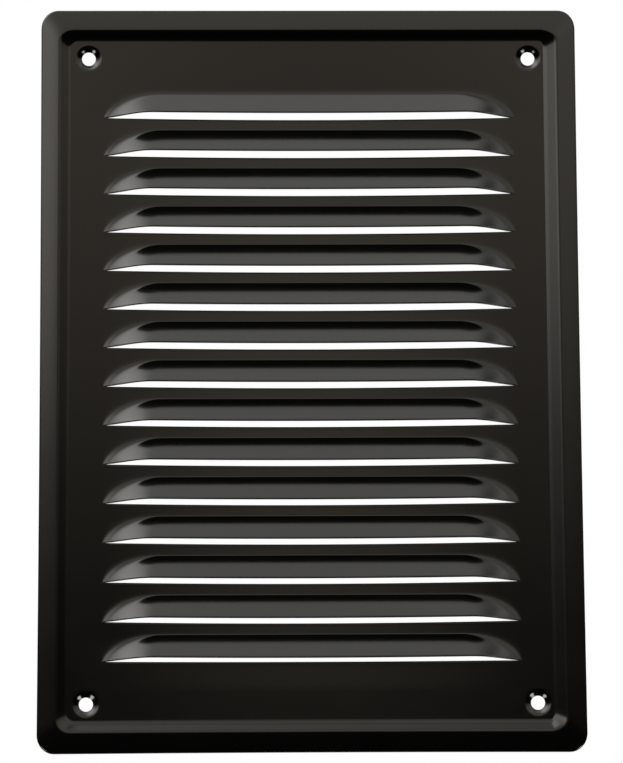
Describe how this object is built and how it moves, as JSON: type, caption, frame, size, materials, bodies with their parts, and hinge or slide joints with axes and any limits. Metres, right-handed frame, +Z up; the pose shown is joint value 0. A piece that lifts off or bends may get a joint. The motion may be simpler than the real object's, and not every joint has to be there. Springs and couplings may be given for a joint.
{
  "type": "louvred air grille",
  "caption": "Flat rectangular wall grille pressed from one steel sheet, with downward-opening louvres, a raised rim and dimpled corner screw holes.",
  "frame": {"origin": "centre of the grille on the wall plane", "axes": "+X to the right seen from the front, +Z up with the louvres opening downwards, -Y out of the wall towards the viewer"},
  "size_m": [0.18, 0.0066, 0.25],
  "materials": {
    "satin_black_paint": "satin black powder coat"
  },
  "bodies": {
    "root": {"louvred_plate": "satin_black_paint"}
  },
  "joints": []
}
